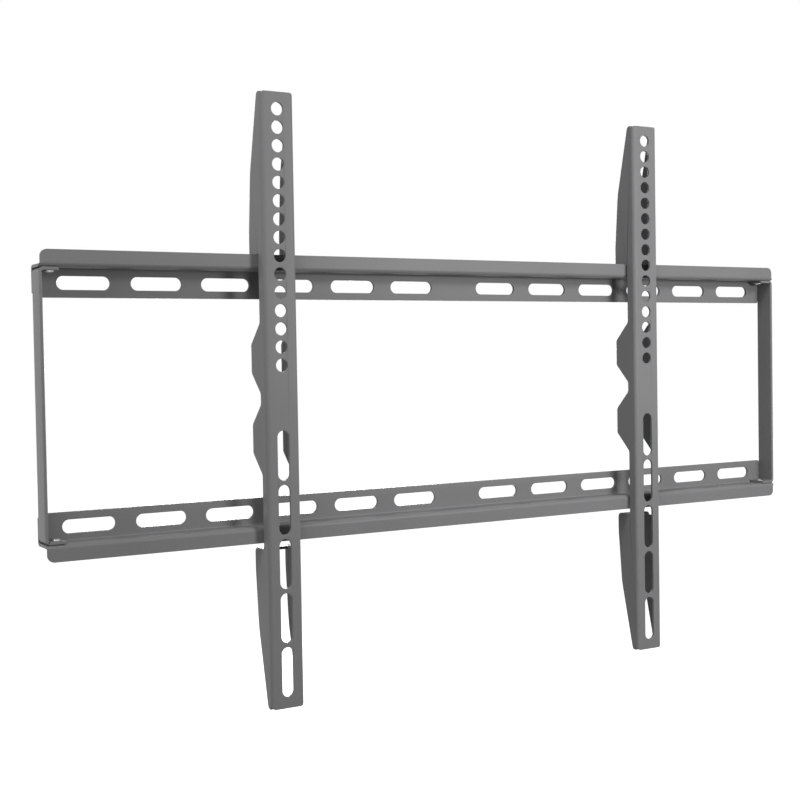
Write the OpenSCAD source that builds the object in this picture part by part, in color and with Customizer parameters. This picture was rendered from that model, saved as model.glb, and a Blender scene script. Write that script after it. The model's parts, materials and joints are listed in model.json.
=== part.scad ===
// Low-profile fixed wall mount for a flat television.
// Two Z-section rails are tied by two end bars into a wall frame.
// Two channel brackets go on the back of the set, hook over the top rail and slide along it.
// Millimetres. X runs along the wall, the wall is the plane Y = 0, the set is on the -Y side, Z is up.
// The origin is the centre of the outer four wall slots.

/* [Sheet] */
// Thickness of every folded steel sheet
sheet_t = 2; // [1.2:0.1:3]
// Inside radius of every fold
bend_in_r = 1; // [0.5:0.1:3]

/* [Rails] */
// Length of the wall flange and shelf of each rail
rail_l = 643; // [400:1:900]
// Distance from the wall to the front of the lip
rail_d = 17.8; // [14:0.1:30]
// Overall height of the frame, lip edge to lip edge
frame_h = 198.8; // [150:0.1:300]
// Height of a lip, from the outside of the shelf to its free edge
lip_h = 11.2; // [8:0.1:20]
// Height of a wall flange, from the outside of the shelf to its inner edge
flange_l = 20.8; // [18:0.1:35]
// How much shorter the lip is than the rail at each end
lip_inset = 1; // [0:0.1:5]
// Corner radius at each end of a lip
lip_corner_r = 4.5; // [1:0.1:8]
// Concave radius where the lip end runs out into the shelf
lip_root_r = 1; // [0.2:0.1:3]
// Corner cut of the wall flange at each end
flange_chamfer = 3; // [0:0.1:8]

/* [Wall slots] */
// Slots on each side of the middle, per rail
slot_n = 6; // [2:1:8]
// Distance from the middle of the frame to the first slot
slot_x0 = 38; // [20:1:60]
// Distance from the end of a rail to the middle of its last slot
slot_end = 33.5; // [25:0.5:60]
// Distance from the inner edge of a wall flange to the middle of its slots
slot_edge = 9.6; // [6:0.1:15]
// Slot length from end to end
slot_l = 36; // [20:0.1:45]
// Slot width
slot_w = 9; // [6:0.1:12]

/* [End bars] */
// Gap between the back of a bar and the wall flange
bar_back_gap = 0.1; // [0.1:0.1:2]
// Corner cut at the back of each tab, which clears the inside of the rail's fold
bar_back_cut = 1.2; // [1:0.1:3]
// Distance from the wall to the front edge of a bar
bar_front = 17.4; // [12:0.1:25]
// Length of the folded tab, from the outer face of the bar
bar_tab_l = 13; // [10:0.5:20]

/* [Rivets] */
// Shank diameter
rivet_d = 4; // [3:0.1:5]
// Clearance of the shank hole on the radius
rivet_hole_gap = 0.1; // [0.05:0.05:0.4]
// Head diameter
rivet_head_d = 7; // [5:0.1:10]
// Head height
rivet_head_h = 1.6; // [1:0.1:2.5]
// Diameter of the set bulb on the far side
rivet_bulb_d = 6; // [5:0.1:8]
// Height of the set bulb
rivet_bulb_h = 2.2; // [1:0.1:3]
// Diameter of the hole left by the mandrel
rivet_core_d = 2; // [1:0.1:3]
// Distance of a rivet from the end of the rail
rivet_x = 8.5; // [6:0.1:12]
// Distance of a rivet from the wall
rivet_y = 9.5; // [6:0.1:14]

/* [Brackets] */
// Length of a bracket
bracket_l = 424; // [300:1:600]
// Height of the middle of a bracket above the middle of the frame
bracket_mid_z = -2.2; // [-6:0.1:6]
// Width of a bracket
bracket_w = 25; // [20:0.5:40]
// Distance from the wall to the front face of a bracket
bracket_d = 26.8; // [22:0.1:40]
// Corner radius of the front face
face_corner_r = 3; // [1:0.1:6]
// Middle of the left bracket along the rails
left_x = -158; // [-308:0.5:-14]
// Middle of the right bracket along the rails
right_x = 169.5; // [14:0.5:308]

/* [Bracket edge] */
// Clearance between the bracket and the front of a lip
lip_gap = 0.4; // [0.2:0.1:2]
// Clearance between the bracket and the back of a lip
lip_back_gap = 0.8; // [0.3:0.1:2]
// Clearance above the lip edge that carries the hook
seat_gap = 0.3; // [0.2:0.1:1]
// Distance from the wall to the deepest part of hook, bumps and foot
deep_y = 3.8; // [2.5:0.1:8]
// Distance from the wall to the middle of the valley between the bumps
valley_y = 17.8; // [10:0.1:20]
// Distance from the wall to a flange at either end of the bracket
tip_y = 20; // [15:0.1:25]
// Distance from the wall to a flange where its taper changes slope
taper_y = 7.4; // [5:0.1:12]
// Length of the slow inner part of the taper
taper_slow_l = 42; // [20:1:60]
// Plain length between the level of a lip and the taper, as the mean of both ends
taper_clear = 16.6; // [8:0.1:30]
// How far the hook reaches down behind the lip, from the edge of the lip
hook_l = 5.9; // [4:0.1:6.5]
// Height where an outer bump slope leaves the narrow part
bump_out_z = 52.3; // [40:0.1:60]
// Height of the outer end of a bump
bump_hi_z = 37.8; // [30:0.1:45]
// Height of the inner end of a bump
bump_lo_z = 17.8; // [10:0.1:25]
// Half length of the valley floor
valley_z = 3.8; // [1:0.1:8]
// Radius of the bump and valley corners
wave_r = 3.5; // [1:0.1:6]
// Radius of the top back corner of the foot
foot_corner_r = 3.5; // [1:0.1:5]
// Gap below the bottom lip, down to the foot
foot_gap = 4.2; // [2:0.1:8]
// Distance from the wall to the front edge of the web folded across the top of the foot
web_front = 13.6; // [10:0.1:16]
// Width of that web, back to front
web_l = 6.3; // [4:0.1:8]
// Gap between the free end of the web and the left-hand flange
web_end_gap = 0.5; // [0.3:0.1:2]
// Depth of the relief cut beside the fold of the web
web_relief = 2.6; // [1:0.1:5]

/* [Screen holes] */
// Round holes in a bracket
hole_n = 15; // [6:1:20]
// Distance of the first hole from the top
hole_top = 11.7; // [8:0.1:20]
// Hole diameter
hole_d = 9; // [6:0.1:12]
// Upright slots in a bracket
tv_slot_n = 5; // [2:1:8]
// Hole pitches from one upright slot to the next
tv_slot_step = 3; // [3:1:5]
// Distance from the last round hole to the middle of the first upright slot
tv_slot_gap = 62.1; // [40:0.1:90]
// Distance from the bottom of the bracket to the middle of the last upright slot
tv_slot_end = 25.2; // [22:0.1:40]
// Metal left between two upright slots
tv_slot_land = 3.1; // [2:0.1:8]
// Width of an upright slot
tv_slot_w = 9; // [6:0.1:12]

/* [Hidden] */
$fn = 48;
bend_out_r = bend_in_r + sheet_t;
lip_z = frame_h / 2;
shelf_z = lip_z - lip_h;
bar_x = rail_l / 2;
bar_h = 2 * shelf_z;
bar_cut_side = bar_back_cut * sqrt(2);
flange_z = shelf_z + sheet_t - flange_l;
slot_z = flange_z + slot_edge;
slot_pitch = (bar_x - slot_end - slot_x0) / (slot_n - 1);
arc_n = 6;
bracket_top = bracket_mid_z + bracket_l / 2;
bracket_bottom = bracket_mid_z - bracket_l / 2;
overhang = (bracket_l - frame_h) / 2;
taper_l = overhang - taper_clear - taper_slow_l;
hook_end_z = lip_z - hook_l;
narrow_y = rail_d + lip_gap;
hook_slot_y = rail_d - sheet_t - lip_back_gap;
hook_slot_z = lip_z + seat_gap;
foot_z = -lip_z - foot_gap;
hole_row_l = bracket_l - hole_top - tv_slot_gap - tv_slot_end;
hole_pitch = hole_row_l / (hole_n - 1 + tv_slot_step * (tv_slot_n - 1));
tv_slot_pitch = tv_slot_step * hole_pitch;
tv_slot_l = tv_slot_pitch - tv_slot_land;
cut = 1;

// Lengths and directions used to round a corner of a path
function unit(v) = v / norm(v);
function turn(d) = d > 180 ? d - 360 : d < -180 ? d + 360 : d;

// Points of the arc that rounds corner b of the path a, b, c; r = 0 keeps it sharp
function corner(a, b, c, r) =
    r <= 0 ? [b] :
    let (u = unit(a - b), w = unit(c - b))
    let (half = acos(u * w) / 2)
    let (mid = b + unit(u + w) * r / sin(half))
    let (p = b + u * r / tan(half), q = b + w * r / tan(half))
    let (a0 = atan2(p.y - mid.y, p.x - mid.x))
    let (da = turn(atan2(q.y - mid.y, q.x - mid.x) - a0))
    [for (i = [0:arc_n]) mid + r * [cos(a0 + da * i / arc_n), sin(a0 + da * i / arc_n)]];

// Closed path from rows of [x, y, corner radius]
function rounded(rows) =
    let (n = len(rows))
    [for (i = [0:n - 1])
        each corner([rows[(i + n - 1) % n].x, rows[(i + n - 1) % n].y], [rows[i].x, rows[i].y],
            [rows[(i + 1) % n].x, rows[(i + 1) % n].y], rows[i].z)];

// Flat slot of length l and width w along the first axis
module stadium(l, w) {
    for (s = [-1, 1])
        translate([s * (l - w) / 2, 0])
            circle(d = w);
    square([l - w, w], center = true);
}

// Quarter of a fold: ring sector with its corner at the origin, in the first quadrant
module fold_sector() {
    intersection() {
        difference() {
            circle(r = bend_out_r);
            circle(r = bend_in_r);
        }
        square(bend_out_r);
    }
}

// Extrudes a drawing of [depth in front of the wall, height] along X
module along_x(l) {
    rotate([90, 0, -90])
        linear_extrude(height = l, center = true)
            children();
}

// Section of the top rail: wall flange, shelf and lip, as [depth, height]
module rail_section() {
    translate([0, flange_z])
        square([sheet_t, shelf_z + sheet_t - bend_out_r - flange_z]);
    translate([bend_out_r, shelf_z + sheet_t - bend_out_r])
        mirror([1, 0])
            fold_sector();
    translate([bend_out_r, shelf_z])
        square([rail_d - 2 * bend_out_r, sheet_t]);
    translate([rail_d - bend_out_r, shelf_z + bend_out_r])
        mirror([0, 1])
            fold_sector();
    translate([rail_d - sheet_t, shelf_z + bend_out_r])
        square([sheet_t, lip_h - bend_out_r]);
}

// Waste beside the right-hand end of the lip, as [X, height]
module lip_end_waste() {
    x = bar_x - lip_inset;
    difference() {
        union() {
            translate([x, shelf_z + sheet_t + lip_root_r])
                square([lip_inset + cut, lip_h]);
            translate([x + lip_root_r, shelf_z + sheet_t])
                square([lip_inset + cut, lip_root_r + cut]);
            translate([x + lip_root_r, shelf_z + sheet_t + lip_root_r])
                circle(r = lip_root_r);
            translate([x - lip_corner_r, lip_z - lip_corner_r])
                square([lip_corner_r + cut, lip_corner_r + cut]);
        }
        translate([x - lip_corner_r, lip_z - lip_corner_r])
            circle(r = lip_corner_r);
    }
}

// Waste at the right-hand end of the wall flange, as [X, height]
module flange_end_waste() {
    translate([bar_x, flange_z])
        rotate(45)
            square(flange_chamfer * sqrt(2), center = true);
}

// Top rail, drawn in the frame
module rail_shape() {
    difference() {
        along_x(rail_l)
            rail_section();
        for (s = [0, 1])
            mirror([s, 0, 0])
                rotate([90, 0, 0]) {
                    translate([0, 0, rail_d - bend_out_r])
                        linear_extrude(height = bend_out_r + cut)
                            lip_end_waste();
                    translate([0, 0, -cut])
                        linear_extrude(height = sheet_t + 2 * cut)
                            flange_end_waste();
                    for (i = [0:slot_n - 1])
                        translate([slot_x0 + i * slot_pitch, slot_z, -cut])
                            linear_extrude(height = sheet_t + 2 * cut)
                                stadium(slot_l, slot_w);
                }
        for (s = [-1, 1])
            translate([s * (bar_x - rivet_x), -rivet_y, shelf_z - cut])
                cylinder(r = rivet_d / 2 + rivet_hole_gap, h = sheet_t + 2 * cut);
    }
}

// Section of the right-hand end bar, as [X, height]: strip and two folded tabs
module bar_section() {
    translate([bar_x - sheet_t, -bar_h / 2 + bend_out_r])
        square([sheet_t, bar_h - 2 * bend_out_r]);
    for (s = [0, 1])
        mirror([0, s]) {
            translate([bar_x - bend_out_r, bar_h / 2 - bend_out_r])
                fold_sector();
            translate([bar_x - bar_tab_l, bar_h / 2 - sheet_t])
                square([bar_tab_l - bend_out_r, sheet_t]);
        }
}

// Right-hand end bar, drawn in the frame
module bar_shape() {
    difference() {
        rotate([90, 0, 0])
            translate([0, 0, sheet_t + bar_back_gap])
                linear_extrude(height = bar_front - sheet_t - bar_back_gap)
                    bar_section();
        for (s = [-1, 1]) {
            translate([bar_x - rivet_x, -rivet_y, s * (bar_h / 2 - sheet_t / 2)])
                cylinder(r = rivet_d / 2 + rivet_hole_gap, h = sheet_t + 2 * cut, center = true);
            translate([bar_x, -sheet_t - bar_back_gap, s * bar_h / 2])
                rotate([45, 0, 0])
                    cube([2 * bar_tab_l + cut, bar_cut_side, bar_cut_side], center = true);
        }
    }
}

// Blind rivet: dished head downwards, shank through two sheets, set bulb above
module rivet_shape() {
    head_r = rivet_head_d / 2;
    dome_r = (head_r * head_r + rivet_head_h * rivet_head_h) / (2 * rivet_head_h);
    difference() {
        rotate_extrude() {
            intersection() {
                translate([0, dome_r - rivet_head_h])
                    circle(r = dome_r, $fn = 96);
                translate([0, -rivet_head_h])
                    square([head_r, rivet_head_h]);
            }
            square([rivet_d / 2, 2 * sheet_t]);
            translate([0, 2 * sheet_t])
                polygon([[0, 0], [rivet_bulb_d / 2 - 0.5, 0], [rivet_bulb_d / 2, 0.6],
                    [rivet_bulb_d / 2 - 0.4, rivet_bulb_h * 0.6], [rivet_core_d / 2 + 0.4, rivet_bulb_h],
                    [0, rivet_bulb_h]]);
        }
        translate([0, 0, -rivet_head_h - cut])
            cylinder(d = rivet_core_d, h = cut + 1);
    }
}

// Rivet in its place: side -1 is left, level -1 is the bottom rail
module rivet_at(side, level) {
    mirror([0, 0, level < 0 ? 1 : 0])
        translate([side * (bar_x - rivet_x), -rivet_y, shelf_z - sheet_t])
            rivet_shape();
}

// Cross-section of a bracket as [X, depth]: front face and two flanges with folds
module channel_section() {
    x = bracket_w / 2;
    translate([-x + bend_out_r, bracket_d - sheet_t])
        square([bracket_w - 2 * bend_out_r, sheet_t]);
    for (s = [0, 1])
        mirror([s, 0]) {
            translate([x - bend_out_r, bracket_d - bend_out_r])
                fold_sector();
            translate([x - sheet_t, 0])
                square([sheet_t, bracket_d - bend_out_r]);
        }
}

// Side outline of a bracket flange as [depth, height], read from the top front corner backwards
flange_rows = [
    [bracket_d + cut, bracket_top, 0],
    [tip_y, bracket_top, 3],
    [taper_y, bracket_top - taper_l, 60],
    [deep_y, bracket_top - taper_l - taper_slow_l, 90],
    [deep_y, hook_end_z, 2.5],
    [hook_slot_y, hook_end_z, 1.5],
    [hook_slot_y, hook_slot_z, 0.6],
    [narrow_y, hook_slot_z, 0.6],
    [narrow_y, bump_out_z, wave_r],
    [deep_y, bump_hi_z, wave_r],
    [deep_y, bump_lo_z, wave_r],
    [valley_y, valley_z, wave_r],
    [valley_y, -valley_z, wave_r],
    [deep_y, -bump_lo_z, wave_r],
    [deep_y, -bump_hi_z, wave_r],
    [narrow_y, -bump_out_z, wave_r],
    [narrow_y, foot_z, 1.2],
    [deep_y, foot_z, foot_corner_r],
    [deep_y, bracket_bottom + taper_l + taper_slow_l, 90],
    [taper_y, bracket_bottom + taper_l, 60],
    [tip_y, bracket_bottom, 3],
    [bracket_d + cut, bracket_bottom, 0]
];

// Outline of the front face with eased corners, as [X, height]
module face_outline() {
    x = bracket_w / 2;
    polygon(rounded([[-x, bracket_bottom, face_corner_r], [x, bracket_bottom, face_corner_r],
        [x, bracket_top, face_corner_r], [-x, bracket_top, face_corner_r]]));
}

// Web folded inwards from the top of the foot of the right-hand flange, as [X, height]
module web_section() {
    x = bracket_w / 2;
    x_end = -x + sheet_t + web_end_gap;
    translate([x_end, foot_z - sheet_t])
        square([x - bend_out_r - x_end, sheet_t]);
    translate([x - bend_out_r, foot_z - bend_out_r])
        fold_sector();
}

// Bracket with its middle on X = 0
module bracket_shape() {
    x = bracket_w / 2;
    difference() {
        union() {
            difference() {
                intersection() {
                    translate([0, 0, bracket_bottom])
                        mirror([0, 1, 0])
                            linear_extrude(height = bracket_l)
                                channel_section();
                    along_x(bracket_w + 2 * cut)
                        polygon(rounded(flange_rows));
                    union() {
                        rotate([90, 0, 0])
                            translate([0, 0, bracket_d - bend_out_r])
                                linear_extrude(height = bend_out_r + cut)
                                    face_outline();
                        translate([-x - cut, -bracket_d + bend_out_r, bracket_bottom - cut])
                            cube([bracket_w + 2 * cut, bracket_d, bracket_l + 2 * cut]);
                    }
                }
                // clears the flange top where the web folds over
                translate([x - bend_out_r, -web_front, foot_z - bend_out_r])
                    cube([bend_out_r + cut, web_l, bend_out_r + cut]);
                // relief between the fold and the narrow part
                translate([x - bend_out_r, -narrow_y, foot_z - web_relief])
                    cube([bend_out_r + cut, narrow_y - web_front, web_relief + bend_out_r]);
            }
            rotate([90, 0, 0])
                translate([0, 0, web_front - web_l])
                    linear_extrude(height = web_l)
                        web_section();
        }
        rotate([90, 0, 0])
            translate([0, 0, bracket_d - sheet_t - cut]) {
                for (i = [0:hole_n - 1])
                    translate([0, bracket_top - hole_top - i * hole_pitch, 0])
                        cylinder(d = hole_d, h = sheet_t + 2 * cut);
                for (i = [0:tv_slot_n - 1])
                    translate([0, bracket_bottom + tv_slot_end + i * tv_slot_pitch, 0])
                        linear_extrude(height = sheet_t + 2 * cut)
                            rotate(90)
                                stadium(tv_slot_l, tv_slot_w);
            }
    }
}

module top_rail() {
    color([0.42, 0.42, 0.43])
        rail_shape();
}

module bottom_rail() {
    color([0.42, 0.42, 0.43])
        mirror([0, 0, 1])
            rail_shape();
}

module left_end_bar() {
    color([0.4, 0.4, 0.41])
        mirror([1, 0, 0])
            bar_shape();
}

module right_end_bar() {
    color([0.4, 0.4, 0.41])
        bar_shape();
}

module rivet_top_left() {
    color([0.62, 0.62, 0.63])
        rivet_at(-1, 1);
}

module rivet_top_right() {
    color([0.62, 0.62, 0.63])
        rivet_at(1, 1);
}

module rivet_bottom_left() {
    color([0.62, 0.62, 0.63])
        rivet_at(-1, -1);
}

module rivet_bottom_right() {
    color([0.62, 0.62, 0.63])
        rivet_at(1, -1);
}

module left_bracket() {
    color([0.45, 0.45, 0.46])
        translate([left_x, 0, 0])
            bracket_shape();
}

module right_bracket() {
    color([0.45, 0.45, 0.46])
        translate([right_x, 0, 0])
            bracket_shape();
}

top_rail();
bottom_rail();
left_end_bar();
right_end_bar();
rivet_top_left();
rivet_top_right();
rivet_bottom_left();
rivet_bottom_right();
left_bracket();
right_bracket();
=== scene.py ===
"""Looks of a low-profile television wall mount, laid out as an add-on and run as a script.

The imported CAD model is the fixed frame. The folded sheets keep their CAD shapes and get softened
edges and a powder coat; the four blind rivets are drawn in full, with head, set bulb and broken stem.
"""

import json
import math

import bpy
import numpy as np
from bpy.props import FloatProperty, FloatVectorProperty, IntProperty, PointerProperty, StringProperty
from mathutils import Matrix, Vector


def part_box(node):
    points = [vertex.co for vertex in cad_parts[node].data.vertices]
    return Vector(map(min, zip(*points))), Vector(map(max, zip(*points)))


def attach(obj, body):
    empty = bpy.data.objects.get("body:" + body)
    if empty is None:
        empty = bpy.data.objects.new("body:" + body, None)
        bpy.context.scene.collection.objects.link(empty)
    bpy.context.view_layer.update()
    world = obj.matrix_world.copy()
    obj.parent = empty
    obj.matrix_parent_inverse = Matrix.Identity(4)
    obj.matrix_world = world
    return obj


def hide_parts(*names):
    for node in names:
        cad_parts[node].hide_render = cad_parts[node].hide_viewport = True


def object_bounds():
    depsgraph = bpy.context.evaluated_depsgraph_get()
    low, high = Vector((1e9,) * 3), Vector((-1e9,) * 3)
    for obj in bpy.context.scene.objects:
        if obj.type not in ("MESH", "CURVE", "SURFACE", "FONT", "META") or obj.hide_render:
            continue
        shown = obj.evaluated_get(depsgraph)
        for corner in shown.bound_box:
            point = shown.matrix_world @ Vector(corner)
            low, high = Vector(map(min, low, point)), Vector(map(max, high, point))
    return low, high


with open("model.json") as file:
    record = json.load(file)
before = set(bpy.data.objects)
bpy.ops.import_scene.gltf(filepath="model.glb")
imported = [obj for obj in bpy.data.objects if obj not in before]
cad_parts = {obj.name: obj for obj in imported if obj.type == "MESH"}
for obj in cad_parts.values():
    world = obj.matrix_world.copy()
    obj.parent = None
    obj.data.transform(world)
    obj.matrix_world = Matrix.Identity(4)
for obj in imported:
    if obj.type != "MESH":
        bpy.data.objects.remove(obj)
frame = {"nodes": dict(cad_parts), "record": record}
CAD_BOX = [list(corner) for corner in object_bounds()]

bl_info = {
    "name": "Television Wall Mount Looks",
    "version": (1, 0, 0),
    "blender": (4, 5, 0),
    "location": "View3D > Sidebar > Wall Mount",
    "description": "Dresses a slotted wall frame and its two sliding screen brackets",
    "category": "Object",
}

MM = 0.001
WHITE = (1.0, 1.0, 1.0, 1.0)
PAPER = (0.3, 0.3, 0.3, 1.0)
# facets around a rivet
ROUND_STEPS = 48
# two faces that turn more than this meet in a cut edge, less in the facets of a fold or a round
SHARP_TURN = math.radians(40.0)
RIVETS = sorted(name for name in frame["nodes"] if name.startswith("rivet_"))
BODIES = frame["record"]["behaviour"]["bodies"]
RAILS = [name for name in BODIES["wall_frame"] if name.endswith("_rail")]
END_BARS = [name for name in BODIES["wall_frame"] if name.endswith("_end_bar")]
BRACKETS = BODIES["left_carrier"] + BODIES["right_carrier"]
# boxes about a sheet's own middle in X where edges stay as cut: the back of an end bar, which lies against
# the rails, and the short edges by the fold of the web in a bracket's foot
BACK_OF_BAR = ((-20.0 * MM, -3.7 * MM, -95.0 * MM), (20.0 * MM, -1.9 * MM, 95.0 * MM))
FOLD_OF_WEB = ((9.0 * MM, -14.5 * MM, -107.5 * MM), (13.5 * MM, -6.5 * MM, -99.0 * MM))
# name, place and side of each square lamp in metres, and the property that holds its power
LAMPS = (
    ("key lamp", (0.26, -0.53, 0.1), 0.15, "key_power"),
    ("right lamp", (0.42, -0.75, 0.45), 0.2, "right_power"),
    ("left softbox", (-1.47, -0.15, 0.1), 0.5, "left_power"),
    ("upper left lamp", (-0.6, -0.35, 0.7), 0.3, "top_power"),
    ("back lamp", (0.9, 2.2, 0.3), 0.8, "back_power"),
)


def rivet_sizes():
    """Head diameter and overall length of a rivet, read from its CAD box."""
    low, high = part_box(RIVETS[0])
    size = high - low
    return size.x, size.z


HEAD_D, RIVET_L = rivet_sizes()


class SheetFinish(bpy.types.PropertyGroup):
    """Powder coat on every folded sheet."""

    coat_hex: StringProperty(name="Coat colour", description="sRGB colour of the powder coat", default="#737374")
    coat_roughness: FloatProperty(
        name="Coat roughness", description="Roughness of the cured coat", default=0.42, min=0.0, max=1.0
    )
    edge_radius: FloatProperty(
        name="Edge radius", description="How far coat and deburring soften a cut edge", default=0.25 * MM,
        min=0.0, max=1.0 * MM, unit="LENGTH", subtype="DISTANCE", precision=5,
    )
    edge_steps: IntProperty(name="Edge steps", description="Facets across a softened edge", default=2, min=1, max=6)
    grain_size: FloatProperty(
        name="Grain size", description="Width of one powder grain after curing", default=0.45 * MM,
        min=0.1 * MM, max=3.0 * MM, unit="LENGTH", subtype="DISTANCE", precision=5,
    )
    peel_size: FloatProperty(
        name="Flow wave size", description="Width of the shallow waves left as the coat flows out",
        default=3.5 * MM, min=1.0 * MM, max=20.0 * MM, unit="LENGTH", subtype="DISTANCE", precision=5,
    )


class RivetFinish(bpy.types.PropertyGroup):
    """Blind rivets in the four corners."""

    body_hex: StringProperty(name="Rivet colour", description="sRGB colour of the rivet body", default="#C4C4C6")
    stem_hex: StringProperty(name="Stem colour", description="sRGB colour of the broken stem", default="#77787B")
    head_height: FloatProperty(
        name="Head height", description="Height of the domed head", default=1.6 * MM,
        min=0.5 * MM, max=3.0 * MM, unit="LENGTH", subtype="DISTANCE", precision=5,
    )
    grip: FloatProperty(
        name="Grip", description="Thickness of the two sheets it clamps", default=4.0 * MM,
        min=1.0 * MM, max=8.0 * MM, unit="LENGTH", subtype="DISTANCE", precision=5,
    )
    shank_d: FloatProperty(
        name="Shank diameter", description="Diameter of the shank", default=4.0 * MM,
        min=2.0 * MM, max=6.0 * MM, unit="LENGTH", subtype="DISTANCE", precision=5,
    )
    bulb_d: FloatProperty(
        name="Bulb diameter", description="Diameter of the set end behind the sheets", default=6.0 * MM,
        min=3.0 * MM, max=8.0 * MM, unit="LENGTH", subtype="DISTANCE", precision=5,
    )
    stem_d: FloatProperty(
        name="Stem diameter", description="Diameter of the pulled stem", default=1.9 * MM,
        min=1.0 * MM, max=3.0 * MM, unit="LENGTH", subtype="DISTANCE", precision=5,
    )


class StudioSetup(bpy.types.PropertyGroup):
    """Floor, lamps and camera."""

    floor_drop: FloatProperty(
        name="Floor drop", description="Height of the mount's lowest point above the floor", default=0.42,
        min=0.0, max=2.0, unit="LENGTH", subtype="DISTANCE",
    )
    floor_size: FloatProperty(
        name="Floor size", description="Side of the square floor", default=14.0, min=2.0, max=40.0,
        unit="LENGTH", subtype="DISTANCE",
    )
    eye: FloatVectorProperty(
        name="Camera place", description="Where the camera stands", default=(-0.561583, -0.860285, 0.027838),
        subtype="TRANSLATION", unit="LENGTH",
    )
    yaw: FloatProperty(name="Yaw", description="Turn to the left, seen from above", default=math.radians(-30.8205),
                       subtype="ANGLE")
    pitch: FloatProperty(name="Pitch", description="Tilt upwards", default=math.radians(-1.8598), subtype="ANGLE")
    roll: FloatProperty(name="Roll", description="Turn about the line of sight", default=math.radians(-0.9704),
                        subtype="ANGLE")
    key_power: FloatProperty(name="Key power", description="Power of the small key lamp", default=1.9, unit="POWER")
    right_power: FloatProperty(name="Right power", description="Power of the right lamp", default=3.5, unit="POWER")
    left_power: FloatProperty(name="Left power", description="Power of the left softbox", default=5.7, unit="POWER")
    top_power: FloatProperty(name="Top power", description="Power of the upper left lamp", default=3.3, unit="POWER")
    back_power: FloatProperty(name="Back power", description="Power of the lamp behind, on the right",
                              default=40.0, unit="POWER")
    ambient: FloatProperty(name="Ambient", description="Even light from straight ahead", default=0.4, min=0.0, max=2.0)
    ambient_side: FloatProperty(name="Ambient aside", description="Even light from the sides and from behind",
                                default=0.2, min=0.0, max=2.0)
    lens: FloatProperty(
        name="Lens", description="Focal length for a 36 mm wide square picture", default=60.468,
        min=10.0, max=300.0, unit="CAMERA",
    )


def linear(hex_colour):
    """sRGB hex to linear RGBA: c / 12.92 below 0.04045, else ((c + 0.055) / 1.055) to the power 2.4."""
    c = np.array([int(hex_colour[i:i + 2], 16) / 255.0 for i in (1, 3, 5)])
    rgb = np.where(c <= 0.04045, c / 12.92, ((c + 0.055) / 1.055) ** 2.4)
    return (*(float(v) for v in rgb), 1.0)


def add_node(tree, kind, settings=None, **links):
    """Adds one node, sets its attributes, and fills its sockets with values or with other nodes' outputs.

    A socket goes by its name with _ for a space, or as i0, i1 and so on by its place.
    """
    node = tree.nodes.new(kind)
    for key, value in (settings or {}).items():
        setattr(node, key, value)
    for key, value in links.items():
        by_place = key[0] == "i" and key[1:].isdigit()
        socket = node.inputs[int(key[1:]) if by_place else key.replace("_", " ")]
        if isinstance(value, bpy.types.NodeSocket):
            tree.links.new(value, socket)
        else:
            socket.default_value = value
    return node


def new_material(name):
    """An empty node material."""
    material = bpy.data.materials.new(name)
    material.use_nodes = True
    material.node_tree.nodes.clear()
    return material


def powder_coat(finish):
    """Grey polyester powder coat on folded steel: matte, with fine cured grain over shallow flow waves."""
    material = new_material("powder-coated steel, matte grey")
    tree = material.node_tree
    place = add_node(tree, "ShaderNodeTexCoord").outputs["Object"]
    # cured grains, far finer than a pixel in the main view and seen only close up
    grain = add_node(tree, "ShaderNodeTexNoise", Vector=place, Scale=1.0 / finish.grain_size, Detail=2.0, Roughness=0.6)
    waves = add_node(tree, "ShaderNodeTexNoise", Vector=place, Scale=1.0 / finish.peel_size, Detail=1.0, Roughness=0.4)
    # broad, barely visible drift in film thickness along a sheet
    drift = add_node(tree, "ShaderNodeTexNoise", Vector=place, Scale=1.0 / (60.0 * MM), Detail=2.0, Roughness=0.5)
    base = linear(finish.coat_hex)
    darker = tuple(v * 0.93 for v in base[:3]) + (1.0,)
    lighter = tuple(v * 1.07 for v in base[:3]) + (1.0,)
    film = add_node(tree, "ShaderNodeMix", {"data_type": "RGBA"}, i0=drift.outputs["Fac"], i6=darker, i7=lighter)
    speck = add_node(tree, "ShaderNodeMapRange", Value=grain.outputs["Fac"], From_Min=0.3, From_Max=0.7,
                     To_Min=0.94, To_Max=1.06)
    tint = add_node(tree, "ShaderNodeMix", {"data_type": "RGBA", "blend_type": "MULTIPLY"}, i0=1.0,
                    i6=film.outputs[2], i7=speck.outputs["Result"])
    gloss = add_node(tree, "ShaderNodeMapRange", Value=grain.outputs["Fac"], From_Min=0.3, From_Max=0.7,
                     To_Min=finish.coat_roughness - 0.05, To_Max=finish.coat_roughness + 0.05)
    swell = add_node(tree, "ShaderNodeBump", Strength=0.25, Distance=0.03 * MM, Height=waves.outputs["Fac"])
    pimple = add_node(tree, "ShaderNodeBump", Strength=0.3, Distance=0.02 * MM, Height=grain.outputs["Fac"],
                      Normal=swell.outputs["Normal"])
    shader = add_node(tree, "ShaderNodeBsdfPrincipled", Base_Color=tint.outputs[2],
                      Roughness=gloss.outputs["Result"], Metallic=0.0, IOR=1.5, Specular_IOR_Level=0.11,
                      Normal=pimple.outputs["Normal"])
    add_node(tree, "ShaderNodeOutputMaterial", Surface=shader.outputs["BSDF"])
    return material


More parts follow.
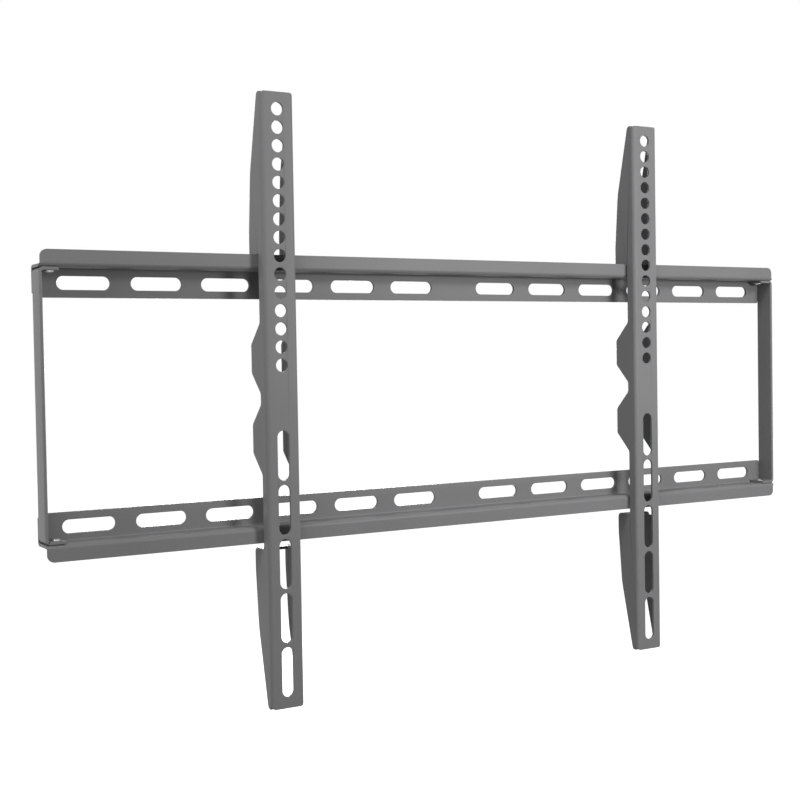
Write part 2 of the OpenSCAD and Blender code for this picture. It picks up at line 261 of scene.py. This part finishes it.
def rivet_metal(hex_colour, name, roughness):
    """Bare rivet metal: fine rings around the axis from forming, a soft metallic shine."""
    material = new_material(name)
    tree = material.node_tree
    place = add_node(tree, "ShaderNodeTexCoord").outputs["Object"]
    scuff = add_node(tree, "ShaderNodeTexNoise", Vector=place, Scale=1.0 / (0.4 * MM), Detail=3.0, Roughness=0.6)
    base = linear(hex_colour)
    dull = tuple(v * 0.8 for v in base[:3]) + (1.0,)
    tint = add_node(tree, "ShaderNodeMix", {"data_type": "RGBA"}, i0=scuff.outputs["Fac"], i6=dull, i7=base)
    gloss = add_node(tree, "ShaderNodeMapRange", Value=scuff.outputs["Fac"], To_Min=roughness - 0.06,
                     To_Max=roughness + 0.08)
    bump = add_node(tree, "ShaderNodeBump", Strength=0.2, Distance=0.01 * MM, Height=scuff.outputs["Fac"])
    shader = add_node(tree, "ShaderNodeBsdfPrincipled", Base_Color=tint.outputs[2], Metallic=1.0,
                      Roughness=gloss.outputs["Result"], Normal=bump.outputs["Normal"])
    add_node(tree, "ShaderNodeOutputMaterial", Surface=shader.outputs["BSDF"])
    return material


def material_once(name, make):
    """The material of that name, made the first time it is asked for."""
    return bpy.data.materials.get(name) or make()


def edge_chooser(low, high):
    """Node group that marks the edges to ease: every cut edge outside one box.

    A point is in the box where its distance from the middle is at most half the side, in X, Y and Z.
    """
    tree = bpy.data.node_groups.new("choose cut edges", "GeometryNodeTree")
    tree.interface.new_socket("Geometry", in_out="INPUT", socket_type="NodeSocketGeometry")
    tree.interface.new_socket("Geometry", in_out="OUTPUT", socket_type="NodeSocketGeometry")
    source = add_node(tree, "NodeGroupInput")
    turn = add_node(tree, "GeometryNodeInputMeshEdgeAngle")
    sharp = add_node(tree, "FunctionNodeCompare", {"operation": "GREATER_THAN"},
                     i0=turn.outputs["Unsigned Angle"], i1=SHARP_TURN)
    place = add_node(tree, "GeometryNodeInputPosition")
    middle = [(a + b) / 2 for a, b in zip(low, high)]
    half = [(b - a) / 2 for a, b in zip(low, high)]
    offset = add_node(tree, "ShaderNodeVectorMath", {"operation": "SUBTRACT"}, i0=place.outputs[0], i1=middle)
    share = add_node(tree, "ShaderNodeVectorMath", {"operation": "DIVIDE"}, i0=offset.outputs[0], i1=half)
    size = add_node(tree, "ShaderNodeVectorMath", {"operation": "ABSOLUTE"}, i0=share.outputs[0])
    parts = add_node(tree, "ShaderNodeSeparateXYZ", i0=size.outputs[0])
    across = add_node(tree, "ShaderNodeMath", {"operation": "MAXIMUM"}, i0=parts.outputs[0], i1=parts.outputs[1])
    most = add_node(tree, "ShaderNodeMath", {"operation": "MAXIMUM"}, i0=across.outputs[0], i1=parts.outputs[2])
    outside = add_node(tree, "FunctionNodeCompare", {"operation": "GREATER_THAN"}, i0=most.outputs[0], i1=1.0)
    chosen = add_node(tree, "FunctionNodeBooleanMath", {"operation": "AND"}, i0=sharp.outputs[0],
                      i1=outside.outputs[0])
    mark = add_node(tree, "GeometryNodeStoreNamedAttribute", {"data_type": "FLOAT", "domain": "EDGE"},
                    Geometry=source.outputs[0], Name="bevel_weight_edge", Value=chosen.outputs[0])
    add_node(tree, "NodeGroupOutput", i0=mark.outputs[0])
    return tree


def coat(names, finish, sharp_box=None):
    """Gives CAD sheets the powder coat and rounds their cut edges.

    sharp_box is (low, high) about the sheet's own middle in X: edges in it stay as cut.
    """
    material = material_once("powder-coated steel, matte grey", lambda: powder_coat(finish))
    for name in names:
        sheet = frame["nodes"][name]
        for slot in sheet.material_slots:
            slot.material = material
        weld = sheet.modifiers.new("join the faces", "WELD")
        weld.merge_threshold = 0.001 * MM
        if sharp_box:
            low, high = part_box(name)
            move = ((low.x + high.x) / 2, 0.0, 0.0)
            choose = sheet.modifiers.new("choose the cut edges", "NODES")
            choose.node_group = edge_chooser(*([a + b for a, b in zip(side, move)] for side in sharp_box))
        ease = sheet.modifiers.new("ease the cut edges", "BEVEL")
        ease.width = finish.edge_radius
        ease.segments = finish.edge_steps
        ease.limit_method = "WEIGHT" if sharp_box else "ANGLE"
        ease.angle_limit = SHARP_TURN
        ease.use_clamp_overlap = not sharp_box
        even = sheet.modifiers.new("even the shading", "WEIGHTED_NORMAL")
        even.mode = "FACE_AREA_WITH_ANGLE"
        even.weight = 60


class TVMOUNT_OT_coat_frame(bpy.types.Operator):
    """Powder-coat the rails and end bars of the wall frame"""

    bl_idname = "tvmount.coat_frame"
    bl_label = "Coat Wall Frame"

    def execute(self, context):
        coat(RAILS, context.scene.tvmount_sheet)
        coat(END_BARS, context.scene.tvmount_sheet, BACK_OF_BAR)
        return {"FINISHED"}


class TVMOUNT_OT_coat_brackets(bpy.types.Operator):
    """Powder-coat the two sliding screen brackets"""

    bl_idname = "tvmount.coat_brackets"
    bl_label = "Coat Brackets"

    def execute(self, context):
        coat(BRACKETS, context.scene.tvmount_sheet, FOLD_OF_WEB)
        return {"FINISHED"}


def revolved(name, profile, segments):
    """Surface of revolution: point (i, j) is (r_i cos a_j, r_i sin a_j, z_i), with a_j = 2 pi j / segments.

    The profile runs from the axis to the axis, so a pole point closes each end.
    """
    r, z = np.array(profile[1:-1]).T
    a = 2.0 * math.pi * np.arange(segments) / segments
    ring = np.stack([np.outer(r, np.cos(a)), np.outer(r, np.sin(a)), np.repeat(z[:, None], segments, 1)], -1)
    poles = np.array([[0.0, 0.0, profile[0][1]], [0.0, 0.0, profile[-1][1]]])
    points = np.concatenate([ring.reshape(-1, 3), poles])
    i, j = np.meshgrid(np.arange(len(r) - 1), np.arange(segments), indexing="ij")
    k = (j + 1) % segments
    quads = np.stack([i * segments + j, i * segments + k, (i + 1) * segments + k, (i + 1) * segments + j], -1)
    j = np.arange(segments)
    k = (j + 1) % segments
    first = np.stack([np.full(segments, len(points) - 2), k, j], -1)
    last_ring = (len(r) - 1) * segments
    last = np.stack([np.full(segments, len(points) - 1), last_ring + j, last_ring + k], -1)
    mesh = bpy.data.meshes.new(name)
    mesh.from_pydata(points.tolist(), [], quads.reshape(-1, 4).tolist() + first.tolist() + last.tolist())
    mesh.polygons.foreach_set("use_smooth", np.ones(len(mesh.polygons), bool))
    return mesh


def arc(mid_r, mid_z, radius, start, end, steps):
    """Rows (r, z) on a circle about (mid_r, mid_z), at even angles in degrees from start to end."""
    a = np.radians(np.linspace(start, end, steps))
    return np.stack([mid_r + radius * np.cos(a), mid_z + radius * np.sin(a)], -1).tolist()


def rivet_profile(finish):
    """Half outline of a set blind rivet, from the stem's tip in the head to the end behind the sheets.

    Rows are (r, z) in metres with z = 0 under the head: a broken stem in its hole, a domed head that is
    part of a circle about the axis, a small round rim, the shank, and the bulged end around the stem's ball.
    """
    head_r = HEAD_D / 2
    stem_r = finish.stem_d / 2
    hole_r = stem_r + 0.12 * MM
    shank_r = finish.shank_d / 2
    bulb_r = finish.bulb_d / 2
    rim = 0.18 * MM
    rise = finish.head_height - 2 * rim
    dome_r = (head_r ** 2 + rise ** 2) / (2 * rise)
    dome_z = dome_r - finish.head_height
    edge = math.degrees(math.asin((head_r - rim) / dome_r))
    lip = math.degrees(math.asin((hole_r + 0.1 * MM) / dome_r))
    far = RIVET_L - finish.head_height
    recess = finish.head_height - 0.3 * MM
    stem = [[0.0, -recess], [0.45 * stem_r, -recess - 0.05 * MM], [0.8 * stem_r, -recess + 0.08 * MM],
            [stem_r, -recess + 0.3 * MM], [stem_r, -0.5 * MM]]
    head = [[hole_r, -0.5 * MM], [hole_r, 0.12 * MM - finish.head_height]]
    head += arc(0.0, dome_z, dome_r, lip - 90.0, edge - 90.0, 14)
    head += arc(head_r - rim, -rim, rim, -60.0, 90.0, 6)
    shank = [[shank_r, 0.0], [shank_r, finish.grip]]
    swell = (far - finish.grip) * 0.45
    bulb = [[bulb_r - 0.45 * MM, finish.grip]] + arc(bulb_r - swell, finish.grip + swell, swell, -60.0, 70.0, 9)
    ball = arc(0.0, far - stem_r * 1.3, stem_r * 1.3, 35.0, 78.0, 6)
    return stem, head + shank + bulb + ball + [[0.0, far]]


class TVMOUNT_OT_set_rivets(bpy.types.Operator):
    """Draw the four blind rivets that hold the end bars"""

    bl_idname = "tvmount.set_rivets"
    bl_label = "Set Rivets"

    def execute(self, context):
        finish = context.scene.tvmount_rivet
        body = rivet_metal(finish.body_hex, "aluminium rivet, formed", 0.32)
        pin = rivet_metal(finish.stem_hex, "steel stem, broken off", 0.45)
        stem, rest = rivet_profile(finish)
        for name in RIVETS:
            low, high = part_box(name)
            x, y = (low.x + high.x) / 2, (low.y + high.y) / 2
            # the heads sit below the upper shelf and above the lower one
            head_down = low.z > 0.0
            profile = stem + rest
            if not head_down:
                profile = [[r, -z] for r, z in reversed(profile)]
            mesh = revolved(name.replace("rivet", "blind_rivet"), profile, ROUND_STEPS)
            seat = low.z + finish.head_height if head_down else high.z - finish.head_height
            mesh.transform(Matrix.Translation((x, y, seat)))
            mesh.materials.append(body)
            mesh.materials.append(pin)
            height = np.array([polygon.center.z for polygon in mesh.polygons]) - seat
            radius = np.array([math.hypot(polygon.center.x - x, polygon.center.y - y) for polygon in mesh.polygons])
            outer_side = height < 0 if head_down else height > 0
            on_stem = outer_side & (radius < finish.stem_d / 2 + 0.02 * MM)
            mesh.polygons.foreach_set("material_index", on_stem.astype(np.int32))
            mesh.set_sharp_from_angle(angle=SHARP_TURN)
            piece = bpy.data.objects.new(mesh.name, mesh)
            context.scene.collection.objects.link(piece)
            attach(piece, "wall_frame")
            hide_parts(name)
        return {"FINISHED"}


def background_rays(tree):
    """1 for camera, glossy and transmitted rays, which see plain white, and 0 for the rays that light the object."""
    path = add_node(tree, "ShaderNodeLightPath")
    straight = add_node(tree, "ShaderNodeMath", {"operation": "MAXIMUM"}, i0=path.outputs["Is Camera Ray"],
                        i1=path.outputs["Is Glossy Ray"])
    seen = add_node(tree, "ShaderNodeMath", {"operation": "MAXIMUM"}, i0=straight.outputs[0],
                    i1=path.outputs["Is Transmission Ray"])
    return seen.outputs[0]


def white_floor():
    """Matte white paper: plain white to the eye and in reflections, and only as bright as paper to the object."""
    material = new_material("white paper floor")
    tree = material.node_tree
    glow = add_node(tree, "ShaderNodeEmission", Color=WHITE, Strength=background_rays(tree))
    paper = add_node(tree, "ShaderNodeBsdfDiffuse", Color=PAPER)
    both = add_node(tree, "ShaderNodeAddShader", i0=glow.outputs[0], i1=paper.outputs[0])
    add_node(tree, "ShaderNodeOutputMaterial", Surface=both.outputs[0])
    return material


def white_world(scene, front, aside):
    """White to camera, glossy and transmitted rays; grey for all else, brightest straight in front of the wall."""
    world = bpy.data.worlds.new("white studio")
    world.use_nodes = True
    tree = world.node_tree
    tree.nodes.clear()
    way = add_node(tree, "ShaderNodeTexCoord").outputs["Generated"]
    parts = add_node(tree, "ShaderNodeSeparateXYZ", i0=way)
    ambient = add_node(tree, "ShaderNodeMapRange", Value=parts.outputs[1], From_Min=-1.0, From_Max=0.0,
                       To_Min=front, To_Max=aside)
    level = add_node(tree, "ShaderNodeMapRange", Value=background_rays(tree), To_Min=ambient.outputs["Result"],
                     To_Max=1.0)
    sky = add_node(tree, "ShaderNodeBackground", Color=WHITE, Strength=level.outputs["Result"])
    add_node(tree, "ShaderNodeOutputWorld", Surface=sky.outputs[0])
    scene.world = world


def softbox(scene, name, place, side, power):
    """A square lamp at place, aimed at the middle of the mount and hidden from the camera."""
    lamp = bpy.data.lights.new(name, "AREA")
    lamp.shape = "SQUARE"
    lamp.size = side
    lamp.energy = power
    holder = bpy.data.objects.new(name, lamp)
    scene.collection.objects.link(holder)
    holder.location = place
    holder.rotation_euler = (-Vector(place)).to_track_quat("-Z", "Y").to_euler()
    holder.visible_camera = False


def camera_axes(yaw, pitch, roll):
    """Right, up and back of the camera: forward is +Y turned by yaw and pitch, then rolled about itself."""
    forward = Vector((-math.sin(yaw) * math.cos(pitch), math.cos(yaw) * math.cos(pitch), math.sin(pitch)))
    level = Vector((math.cos(yaw), math.sin(yaw), 0.0))
    upright = level.cross(forward)
    right = level * math.cos(roll) + upright * math.sin(roll)
    up = upright * math.cos(roll) - level * math.sin(roll)
    return right, up, -forward


class TVMOUNT_OT_set_studio(bpy.types.Operator):
    """Set up the floor, the lamps and the camera"""

    bl_idname = "tvmount.set_studio"
    bl_label = "Set Studio"

    def execute(self, context):
        scene = context.scene
        studio = scene.tvmount_studio
        half = studio.floor_size / 2
        level = CAD_BOX[0][2] - studio.floor_drop
        mesh = bpy.data.meshes.new("floor")
        mesh.from_pydata([(-half, -half, level), (half, -half, level), (half, half, level), (-half, half, level)],
                         [], [(0, 1, 2, 3)])
        mesh.materials.append(white_floor())
        floor = bpy.data.objects.new("floor", mesh)
        scene.collection.objects.link(floor)
        white_world(scene, studio.ambient, studio.ambient_side)
        for name, place, side, power in LAMPS:
            softbox(scene, name, place, side, getattr(studio, power))
        lens = bpy.data.cameras.new("camera")
        lens.sensor_fit = "HORIZONTAL"
        lens.sensor_width = 36.0
        lens.lens = studio.lens
        lens.clip_start = 0.01
        lens.clip_end = 100.0
        camera = bpy.data.objects.new("camera", lens)
        scene.collection.objects.link(camera)
        right, up, back = camera_axes(studio.yaw, studio.pitch, studio.roll)
        camera.matrix_world = Matrix.Translation(studio.eye) @ Matrix((right, up, back)).transposed().to_4x4()
        scene.camera = camera
        scene.view_settings.view_transform = "Standard"
        return {"FINISHED"}


class TVMOUNT_PT_looks(bpy.types.Panel):
    """Sizes, colours and steps of the wall mount's looks"""

    bl_idname = "TVMOUNT_PT_looks"
    bl_label = "Wall Mount"
    bl_space_type = "VIEW_3D"
    bl_region_type = "UI"
    bl_category = "Wall Mount"

    def draw(self, context):
        scene = context.scene
        for heading, group, steps in (
            ("Sheets", scene.tvmount_sheet, ("tvmount.coat_frame", "tvmount.coat_brackets")),
            ("Rivets", scene.tvmount_rivet, ("tvmount.set_rivets",)),
            ("Studio", scene.tvmount_studio, ("tvmount.set_studio",)),
        ):
            box = self.layout.box()
            box.label(text=heading)
            for key in group.bl_rna.properties.keys():
                if key not in ("rna_type", "name"):
                    box.prop(group, key)
            for step in steps:
                box.operator(step)


CLASSES = (
    SheetFinish,
    RivetFinish,
    StudioSetup,
    TVMOUNT_OT_coat_frame,
    TVMOUNT_OT_coat_brackets,
    TVMOUNT_OT_set_rivets,
    TVMOUNT_OT_set_studio,
    TVMOUNT_PT_looks,
)


def register():
    """Adds the classes and hangs the three property groups on the scene."""
    for item in CLASSES:
        bpy.utils.register_class(item)
    bpy.types.Scene.tvmount_sheet = PointerProperty(type=SheetFinish)
    bpy.types.Scene.tvmount_rivet = PointerProperty(type=RivetFinish)
    bpy.types.Scene.tvmount_studio = PointerProperty(type=StudioSetup)


def unregister():
    """Takes the property groups and the classes away again."""
    del bpy.types.Scene.tvmount_studio
    del bpy.types.Scene.tvmount_rivet
    del bpy.types.Scene.tvmount_sheet
    for item in reversed(CLASSES):
        bpy.utils.unregister_class(item)


def main():
    """Registers the add-on and runs its operators in order."""
    register()
    bpy.ops.tvmount.coat_frame()
    bpy.ops.tvmount.coat_brackets()
    bpy.ops.tvmount.set_rivets()
    bpy.ops.tvmount.set_studio()


if __name__ == "__main__":
    main()
